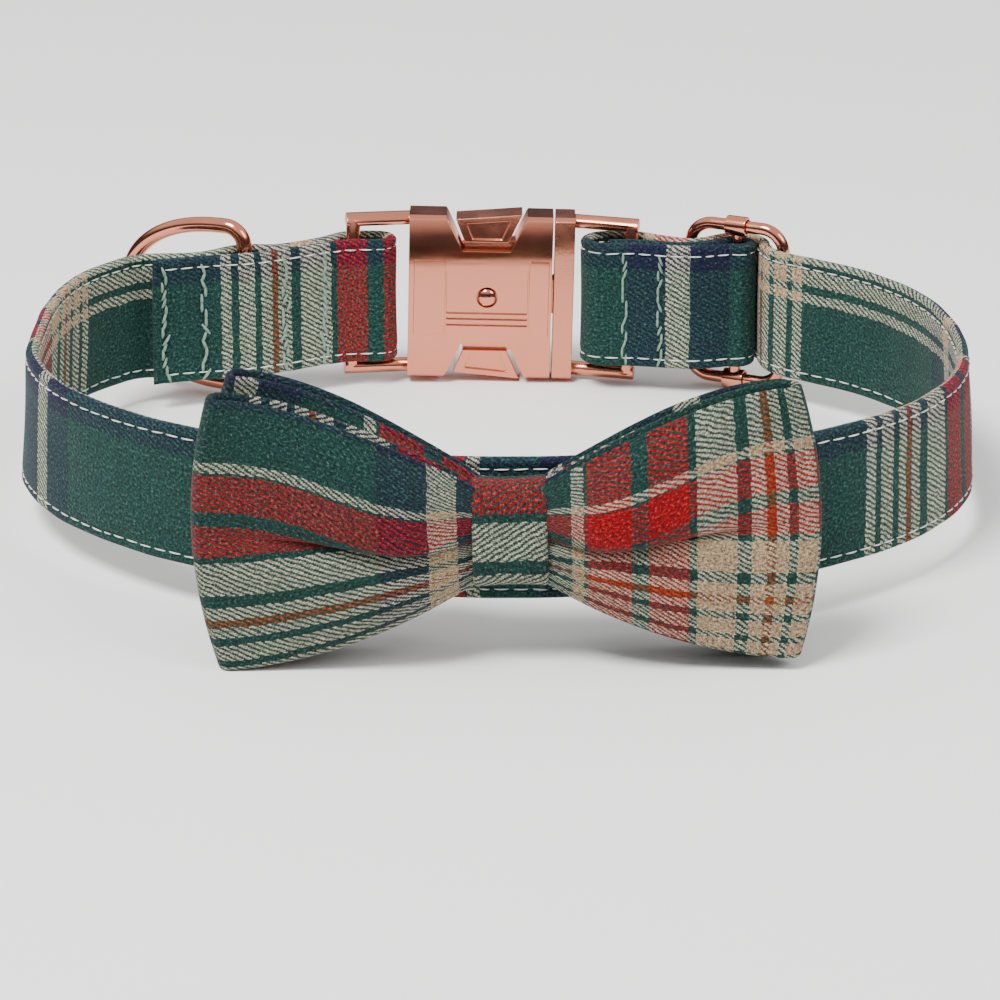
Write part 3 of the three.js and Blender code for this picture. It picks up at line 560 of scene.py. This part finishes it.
def turned_about_y(points, degrees):
    """Points turned about Y, X towards -Z for a positive angle."""
    c, s = math.cos(math.radians(degrees)), math.sin(math.radians(degrees))
    x, y, z = np.moveaxis(points, -1, 0)
    return np.stack([x * c + z * s, y, z * c - x * s], axis=-1)


def wing_height(out):
    """Half the wing's height at a share of its length: the waist's up to the knot's edge, then a sine."""
    spread = np.sin(np.pi / 2 * np.clip((out - 0.1) / 0.9, 0, 1)) ** 0.9
    return (bow_waist_height + (bow_end_height - bow_waist_height) * spread) / 2


def pleat_share(out):
    """How deep the pleat is at a share of the wing's length: a bell about a third of the way out."""
    return np.exp(-((out - 0.33) / np.where(out < 0.33, 0.2, 0.33)) ** 2)


def wall_gap(x, half):
    """Half the gap between a loop's walls: closed under the knot, then open as a power of the distance."""
    return bow_closed + bow_opening * np.clip((np.abs(x) / half - 0.13) / 0.4, 0, 1) ** 0.8


def length_to_middle(x, step):
    """The length of a ring's path from its first point to the front's middle."""
    return step[:np.argmax(x > 0)].sum()


def bow_loop(name, half, order, turn, along, seed):
    """A ring of cloth in plan, its two walls joined by half-round ends, swept up its height. Each point
    moves forward by the pleat's lobes, an exponential rise out of the crease, and the upper lobe stands
    out further and hangs over the lower one. Small gathers fan out from the knot as sines that die away
    along the wing."""
    wall = np.sin(np.linspace(-np.pi / 2, np.pi / 2, 190))
    end_half = bow_closed + bow_opening
    flat = half - end_half
    turn_angle = np.radians(np.linspace(-90, 90, 15)[1:-1])
    round_x, round_y = flat + end_half * np.cos(turn_angle), end_half * np.sin(turn_angle)
    x = np.concatenate([flat * wall, round_x, -flat * wall, -round_x])
    gap = wall_gap(flat * wall, half)
    y = np.concatenate([-gap, round_y, gap, -round_y])
    normal = np.zeros((len(x), 2))
    normal[:len(wall), 1] = -1
    normal[len(wall):len(wall) + len(turn_angle)] = np.stack([np.cos(turn_angle), np.sin(turn_angle)], 1)
    normal[len(wall) + len(turn_angle):] = -normal[:len(wall) + len(turn_angle)]
    step = np.hypot(np.roll(x, -1) - x, np.roll(y, -1) - y)
    path = np.concatenate([[0], np.cumsum(step)[:-1]]) - length_to_middle(x, step)
    path = np.where(path > step.sum() / 2, path - step.sum(), path)

    rows = np.linspace(-1, 1, 81)
    heights = np.sign(rows) * np.abs(rows) ** 1.35
    cap = np.radians(np.linspace(0, 180, 7)[1:-1])
    v = np.concatenate([heights, np.ones(len(cap)), heights[::-1], -np.ones(len(cap))])
    face, no_lift = np.ones(len(rows)), np.zeros(len(rows))
    skin_side = np.concatenate([face, np.cos(cap), -face, -np.cos(cap)])
    lift = np.concatenate([no_lift, np.sin(cap), no_lift, -np.sin(cap)]) * bow_cloth / 2

    out = (np.abs(x) / half)[:, None]
    side = np.sign(x)[:, None]
    pleat = pleat_share(out)
    crease = v + 0.07 * (1 - out)
    lobes = (1 - np.exp(-np.abs(crease) / crease_width)) * (1 - 0.75 * v ** 4)
    lobes = lobes * (1.1 + 0.28 * np.tanh(crease / 0.08))
    gathers = 0.3 * np.exp(-((out - 0.2) / 0.16) ** 2) * np.sin(9.5 * v + seed + side)
    soft = 0.25 * np.sin(out * 5 + 2.2 * v + seed * 2) * out * (1 - out ** 6)
    forward = -pleat_depth * pleat * lobes + gathers + soft
    tuck = np.where(crease > 0, crease / crease_width * np.exp(1 - crease.clip(0) / crease_width), 0)
    tall = wing_height(out) - bow_cloth / 2
    bulged = 1 - bow_end_bulge * v ** 2 * out ** 4 / half
    middle = order * (wall_gap(x, half) + bow_cloth / 2 + bow_loop_gap / 2)
    ring_middle = np.where(np.abs(x) > flat, order * (end_half + bow_cloth / 2 + bow_loop_gap / 2), middle)
    wing_share = np.where(side > 0, right_wing_share, 1)
    grid = np.stack([
        x[:, None] * wing_share * bulged + normal[:, :1] * skin_side * bow_cloth / 2,
        (ring_middle + y)[:, None] + forward + normal[:, 1:] * skin_side * bow_cloth / 2,
        tall * v - pleat_overhang * pleat * tuck - bow_waist_drop * (1 - out) ** 2 + lift,
    ], axis=-1)
    grid = turned_about_y(turned_about_y(grid, turn), bow_turn) + bow_middle

    hidden = pleat_hidden / 2 * pleat
    up = plaid_at_middle + plaid_slant * (x / half)[:, None] - (plaid_to_edge - hidden) * v
    up = up - hidden * np.tanh(crease / 0.05) - 1.5 * lift
    up_next = np.roll(up, -1, axis=0)
    following = lambda values: np.roll(values, -1, axis=1)
    here = along + plaid_along * path[:, None] + 0 * v
    there = here + plaid_along * step[:, None]
    cloth_at = np.stack([
        np.stack([here, up], -1), np.stack([here, following(up)], -1),
        np.stack([there, following(up_next)], -1), np.stack([there, up_next], -1),
    ], axis=2)
    return skin(name, grid, cloth_at, closed_rows=True)


for piece, node, cut_length in (
    (bow_loop("front_bow_loop", bow_half_length, -1, 0.0, 100.1, 0.4), "front_bow", 0.208),
    (bow_loop("rear_bow_loop", bow_half_length - 2.0, 1, 2.4, 133.0, 0.4), "rear_bow", 0.2),
):
    piece.data.materials.append(bow_twill_painted_shade)
    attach(piece, "collar")
    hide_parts(node)

# The knot and the elastic loops: the knot is a folded band of the twill drawn round both loops' waists.
# Two plain elastic loops behind the bow slide onto the strap.
knot_width = 12.4
knot_cloth = 1.3
knot_half = {"y": 4.6, "z": 7.9}
knot_corner = 4.0
knot_cloth_from = 3.3
elastic_width = 10.0
elastic_cloth = 1.2
elastic_rib = 0.8
elastic_spacing = 38.0


def band(name, half_y, half_z, thickness, width, corner, place, along, up, hollow=0.0):
    """A band closed round an oblong with round corners: its path in Y and Z, its section along X flat
    with half-round edges, and hollowed a little between them. place moves its points to the collar."""
    quarter = np.radians(np.linspace(0, 90, 8))
    path = np.concatenate([
        np.stack([sy * (half_y - corner) + corner * np.cos(quarter + start),
                  sz * (half_z - corner) + corner * np.sin(quarter + start)], 1)
        for sy, sz, start in ((1, 1, 0), (-1, 1, np.pi / 2), (-1, -1, np.pi), (1, -1, 1.5 * np.pi))
    ])
    closed = np.vstack([path, path[:1]])
    run_round = np.concatenate([[0], np.cumsum(np.linalg.norm(np.diff(closed, axis=0), axis=1))])
    even = np.linspace(0, run_round[-1], 120, endpoint=False)
    path = np.stack([np.interp(even, run_round, closed[:, k]) for k in (0, 1)], 1)
    ahead = np.roll(path, -1, 0) - np.roll(path, 1, 0)
    normal = np.stack([ahead[:, 1], -ahead[:, 0]], 1) / np.linalg.norm(ahead, axis=1, keepdims=True)
    t = np.linspace(-1, 1, 21)
    edge = np.radians(np.linspace(0, 180, 7)[1:-1])
    flat = width / 2 - thickness / 2
    outer = thickness - hollow * (1 - t ** 2)
    across = np.concatenate([t * flat, flat + thickness / 2 * np.sin(edge), t[::-1] * flat,
                             -flat - thickness / 2 * np.sin(edge)])
    out = np.concatenate([
        outer, thickness / 2 * (1 + np.cos(edge)), 0 * t, thickness / 2 * (1 - np.cos(edge)),
    ])
    grid = np.stack(np.broadcast_arrays(
        across, path[:, :1] + normal[:, :1] * out, path[:, 1:] + normal[:, 1:] * out), axis=-1)
    step = run_round[-1] / len(even)
    across_next = np.roll(across, -1)
    begin, end = up + even[:, None], up + even[:, None] + step
    cloth_at = np.stack([
        np.stack(np.broadcast_arrays(along + a, b), axis=-1)
        for a, b in ((across, begin), (across_next, begin), (across_next, end), (across, end))
    ], axis=2)
    return skin(name, place(grid), cloth_at, closed_rows=True)


def onto_bow(points):
    """Points about the knot's middle moved to the bow."""
    return turned_about_y(points + [0, -0.55, -bow_waist_drop], bow_turn) + bow_middle


def onto_front(across):
    """A move of points about a loop's middle to the strap's front, that far across, turned as it runs."""
    station = front_stations[0] + np.argmin(np.abs(route[front_stations, 0] - across))
    x_axis = np.array([-outward[station, 1], outward[station, 0], 0])
    y_axis = np.array([-outward[station, 0], -outward[station, 1], 0])
    return lambda p: (p[..., :1] * x_axis + p[..., 1:2] * y_axis + p[..., 2:] * [0, 0, 1]
                      + [route[station, 0], route[station, 1], strap_width / 2])


def ribbed_elastic(name):
    """Woven elastic: dark cord covering over rubber, with ribs 0.8 mm apart across the band. Its colour
    is lighter on the ribs and darker between them: painted shade in the grooves.
    """
    material = bpy.data.materials.new(name)
    material.use_nodes = True
    tree = material.node_tree
    tree.nodes.clear()
    cloth = add(tree, "UVMap", {}, uv_map="cloth")
    ribs = add(tree, "TexWave", {"Vector": cloth, "Scale": 1 / elastic_rib / 2, "Distortion": 0.4},
               bands_direction="X")
    fibre = add(tree, "TexNoise", {"Vector": cloth, "Scale": 4.0, "Detail": 2.0})
    # Painted shade: the colour follows the ribs and is darker in the grooves between them.
    tone = add(tree, "MapRange", {0: ribs, 3: 0.75, 4: 1.25})
    toned = add(tree, "HueSaturation", {"Color": linear("#22302c"), "Value": tone})
    raised = add(tree, "Math", {0: fibre, 1: 0.4, 2: ribs}, operation="MULTIPLY_ADD")
    bump = add(tree, "Bump", {"Strength": 0.6, "Distance": 0.0002, "Height": raised})
    surface = add(tree, "BsdfPrincipled", {"Base Color": toned, "Roughness": 0.8, "Normal": bump})
    add(tree, "OutputMaterial", {"Surface": surface})
    return material


# The knot's cloth is a darker copy of the strap's too, at 0.6 of full colour: painted shade.
knot_twill_painted_shade = plaid_twill("brushed_cotton_plaid_twill_knot_painted_shade", 1.0, 0.6)
knot = band("bow_knot_band", knot_half["y"], knot_half["z"], knot_cloth, knot_width, knot_corner, onto_bow,
            60.0, knot_cloth_from, 0.25)
knot.data.materials.append(knot_twill_painted_shade)
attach(knot, "collar")
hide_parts("bow_knot")
elastic = ribbed_elastic("woven_elastic")
for node, side in (("elastic_loop_left", -1), ("elastic_loop_right", 1)):
    place = onto_front(bow_middle[0] + side * elastic_spacing / 2)
    loop = band(node + "_band", 1.55, 12.8, elastic_cloth, elastic_width, 0.5, place, 0.0, 0.0)
    loop.data.materials.append(elastic)
    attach(loop, "collar")
    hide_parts(node)

# The metal: die-cast zinc, polished and plated rose gold. The buckle's halves, its two release levers,
# rivet and slider bar have their edges eased by tumbling; the plug and upper lever are left sandy.
tumbled_edge = 0.22
crown_bend = -22.0


def rose_gold_plate(name, roughness, grain, depth, crown_from):
    """Rose gold plate on cast zinc: a warm pink mirror, softly blurred, with a faint orange peel whose
    grain and depth are in mm. Above crown_from, a height in mm, its upright faces curve back as a
    parabola, so that they mirror the dark end of the room."""
    material = bpy.data.materials.new(name)
    material.use_nodes = True
    tree = material.node_tree
    tree.nodes.clear()
    place = add(tree, "TexCoord", {}).node.outputs["Object"]
    peel = add(tree, "TexNoise", {"Vector": place, "Scale": 1000 / grain, "Detail": 2.0})
    haze = add(tree, "TexNoise", {"Vector": place, "Scale": 1000 / 6.0, "Detail": 3.0})
    blur = add(tree, "MapRange", {0: haze, 1: 0.3, 2: 0.7, 3: roughness * 0.8, 4: roughness * 1.25})
    tint = add(tree, "MapRange", {0: haze, 1: 0.3, 2: 0.7, 3: 0.96, 4: 1.04})
    toned = add(tree, "HueSaturation", {"Color": linear("#d98a70"), "Value": tint})
    height = add(tree, "SeparateXYZ", {0: place}).node.outputs["Z"]
    above = add(tree, "Math", {0: height, 1: crown_from / 1000}, operation="SUBTRACT")
    above = add(tree, "Math", {0: above, 1: 0}, operation="MAXIMUM")
    crown = add(tree, "Math", {0: above, 1: 2}, operation="POWER")
    crown = add(tree, "Math", {0: crown, 1: crown_bend}, operation="MULTIPLY")
    raised = add(tree, "Math", {0: peel, 1: depth / 2000, 2: crown}, operation="MULTIPLY_ADD")
    rounded = add(tree, "Bevel", {"Radius": tumbled_edge / 1000}, samples=8)
    bump = add(tree, "Bump", {"Strength": 1.0, "Distance": 1.0, "Height": raised, "Normal": rounded})
    surface = add(tree, "BsdfPrincipled", {
        "Base Color": toned, "Metallic": 1.0, "Roughness": blur, "Normal": bump,
    })
    add(tree, "OutputMaterial", {"Surface": surface})
    return material


crowned = rose_gold_plate("polished_rose_gold_plate_crowned", 0.17, 1.4, 0.012, 24.0)
polished = rose_gold_plate("polished_rose_gold_plate", 0.13, 1.4, 0.006, 60.0)
sandy = rose_gold_plate("sandy_rose_gold_plate", 0.25, 0.4, 0.05, 26.0)


def eased_copy(node, name, ease, clamped):
    """A copy of a cast piece whose flat faces are joined again and whose edges are rounded by ease in mm,
    clamped to less where its relief leaves no room for that."""
    copy = bmesh.new()
    copy.from_mesh(frame["nodes"][node].data)
    bmesh.ops.remove_doubles(copy, verts=copy.verts, dist=2e-6)
    bmesh.ops.dissolve_limit(copy, angle_limit=math.radians(1), verts=copy.verts, edges=copy.edges)
    mesh = bpy.data.meshes.new(name)
    copy.to_mesh(mesh)
    copy.free()
    mesh.polygons.foreach_set("use_smooth", np.ones(len(mesh.polygons), bool))
    piece = bpy.data.objects.new(name, mesh)
    bpy.context.scene.collection.objects.link(piece)
    rounding = piece.modifiers.new("eased_edges", "BEVEL")
    rounding.width = ease / 1000
    rounding.segments = 2
    rounding.limit_method = "ANGLE"
    rounding.angle_limit = math.radians(34)
    rounding.use_clamp_overlap = clamped
    shading = piece.modifiers.new("flat_faces", "WEIGHTED_NORMAL")
    shading.keep_sharp = True
    return piece


for node, name, ease, clamped, metal, body in (
    ("buckle_housing", "buckle_housing_casting", 0.2, True, crowned, "collar"),
    ("housing_rivet", "buckle_rivet_head", 0.1, True, polished, "collar"),
    ("buckle_plug", "buckle_plug_casting", 0.15, False, sandy, "collar"),
    ("release_lever_top", "release_lever_top_casting", 0.12, False, sandy, "lever_top"),
    ("release_lever_bottom", "release_lever_bottom_casting", 0.12, False, crowned, "lever_bottom"),
    ("slider_bar", "slider_bar_casting", 0.12, True, polished, "collar"),
):
    piece = eased_copy(node, name, ease, clamped)
    piece.data.materials.append(metal)
    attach(piece, body)
    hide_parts(node)

# The leash ring and the slider's frame: drawn wire bent to shape, butt-welded and plated. The ring is a D
# whose straight bar lies in the strap's sewn channel; the slider is an oblong with round corners.
ring_height = 34.9
ring_depth = 26.0
ring_fullness = 2.3
ring_corner = 4.0
ring_turn = 23.0
slider_height = 33.6
slider_corner = 4.6
slider_drop = 0.2


def wire_loop(name, outline, radius, turn, place):
    """A round wire along a closed outline in X and Z: each section a circle square to the outline, then
    turned about Z and moved to its place."""
    closed = np.vstack([outline, outline[:1]])
    run_round = np.concatenate([[0], np.cumsum(np.linalg.norm(np.diff(closed, axis=0), axis=1))])
    even = np.linspace(0, run_round[-1], 260, endpoint=False)
    line = np.stack([np.interp(even, run_round, closed[:, k]) for k in (0, 1)], 1)
    ahead = np.roll(line, -2, 0) - np.roll(line, 2, 0)
    out = np.stack([ahead[:, 1], -ahead[:, 0]], 1) / np.linalg.norm(ahead, axis=1, keepdims=True)
    angle = np.linspace(0, 2 * np.pi, 24, endpoint=False)
    x = line[:, :1] + out[:, :1] * radius * np.cos(angle)
    z = line[:, 1:] + out[:, 1:] * radius * np.cos(angle)
    y = np.broadcast_to(radius * np.sin(angle), x.shape)
    c, s = math.cos(math.radians(-turn)), math.sin(math.radians(-turn))
    grid = np.stack([x * c - y * s, x * s + y * c, z], axis=-1) + place
    return skin(name, grid, np.zeros((*x.shape, 4, 2)), closed_rows=True)


def ring_outline():
    """A D: a superellipse arc on the left, round corners and a straight bar at X = 0."""
    half = (ring_height - ring_wire) / 2
    angle = np.linspace(0, np.pi, 90)
    power = 2 / ring_fullness
    arc_x = -ring_corner - (ring_depth - ring_corner) * np.abs(np.sin(angle)) ** power
    arc_z = np.sign(np.cos(angle)) * half * np.abs(np.cos(angle)) ** power
    corner = np.linspace(0, np.pi / 2, 14)
    corner_x, corner_z = -ring_corner * (1 - np.sin(corner)), ring_corner * (1 - np.cos(corner))
    return np.vstack([
        np.stack([arc_x, arc_z], 1),
        np.stack([corner_x, corner_z - half], 1),
        np.stack([corner_x, half - corner_z], 1)[::-1],
    ])


def slider_outline():
    """An oblong with round corners."""
    half_z = (slider_height - slider_wire) / 2
    quarter = np.radians(np.linspace(0, 90, 14))
    return np.vstack([
        np.stack([sx * (slider_half - slider_corner) + slider_corner * np.cos(quarter + start),
                  sz * (half_z - slider_corner) + slider_corner * np.sin(quarter + start)], 1)
        for sx, sz, start in ((1, 1, 0), (-1, 1, np.pi / 2), (-1, -1, np.pi), (1, -1, 1.5 * np.pi))
    ])


slider_place = [*slider_middle, strap_width / 2 - slider_drop]
ring = wire_loop("leash_ring_wire", ring_outline(), ring_wire / 2, ring_turn, ring_hinge_on_collar)
slider = wire_loop("slider_frame_wire", slider_outline(), slider_wire / 2, slider_turn, slider_place)
for piece, node, body in ((ring, "d_ring", "leash_ring"), (slider, "slider_frame", "collar")):
    piece.data.materials.append(polished)
    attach(piece, body)
    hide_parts(node)

# The studio: a pale floor under a bright ceiling, dim walls and two soft lamps, as for a catalogue picture.
# The camera stands 0.69 m before the loop's middle and 0.25 m up, looking 20 degrees down on the collar.
bpy.ops.mesh.primitive_plane_add(size=6, location=(0, 0, 0))
floor = bpy.context.object
floor.name = "studio_floor"
paper = bpy.data.materials.new("matt_white_paper")
paper.use_nodes = True
paper.node_tree.nodes.clear()
sheet_surface = add(paper.node_tree, "BsdfPrincipled", {"Base Color": linear("#f4f4f3"), "Roughness": 0.8})
add(paper.node_tree, "OutputMaterial", {"Surface": sheet_surface})
floor.data.materials.append(paper)

surround = bpy.data.worlds.new("studio_surround")
surround.use_nodes = True
surround.node_tree.nodes.clear()
toward = add(surround.node_tree, "TexCoord", {}).node.outputs["Generated"]
upward = add(surround.node_tree, "SeparateXYZ", {0: toward}).node.outputs["Z"]
wall_to_ceiling = add(surround.node_tree, "ValToRGB", {0: upward})
for n, (height, shade) in enumerate([(0.0, "#4c4a4c"), (0.3, "#59575a"), (0.52, "#ffffff")]):
    stops = wall_to_ceiling.node.color_ramp.elements
    stop = stops[n] if n < 2 else stops.new(height)
    stop.position = height
    stop.color = linear(shade)
sky = add(surround.node_tree, "Background", {"Color": wall_to_ceiling, "Strength": 1.05})
add(surround.node_tree, "OutputWorld", {"Surface": sky})
bpy.context.scene.world = surround


def lamp(name, place, target, size, power):
    """A square soft lamp at a place, turned to its target."""
    light = bpy.data.lights.new(name, "AREA")
    light.size = size
    light.energy = power
    stand = bpy.data.objects.new(name, light)
    bpy.context.scene.collection.objects.link(stand)
    stand.location = place
    aim = np.subtract(target, place)
    stand.rotation_euler = (math.atan2(math.hypot(aim[0], aim[1]), -aim[2]), 0, math.atan2(-aim[0], aim[1]))


lamp("key_lamp", (-0.45, -0.55, 1.25), (0, 0, 0.02), 0.45, 30)
lamp("fill_lamp", (0.9, -0.5, 0.9), (0, 0, 0.02), 0.6, 6)
camera_on_collar = [0.5, -688.0, 245.0]
camera_dip = 20.0
camera_reach = 4.017
lens = bpy.data.cameras.new("camera")
lens.sensor_width = 36
lens.lens = lens.sensor_width * camera_reach
lens.clip_start, lens.clip_end = 0.05, 20
camera = bpy.data.objects.new("camera", lens)
bpy.context.scene.collection.objects.link(camera)
camera.location = placed(camera_on_collar)
camera.rotation_euler = (math.radians(90 - camera_dip) - math.asin(collar_up[1]), 0, 0)
bpy.context.scene.camera = camera
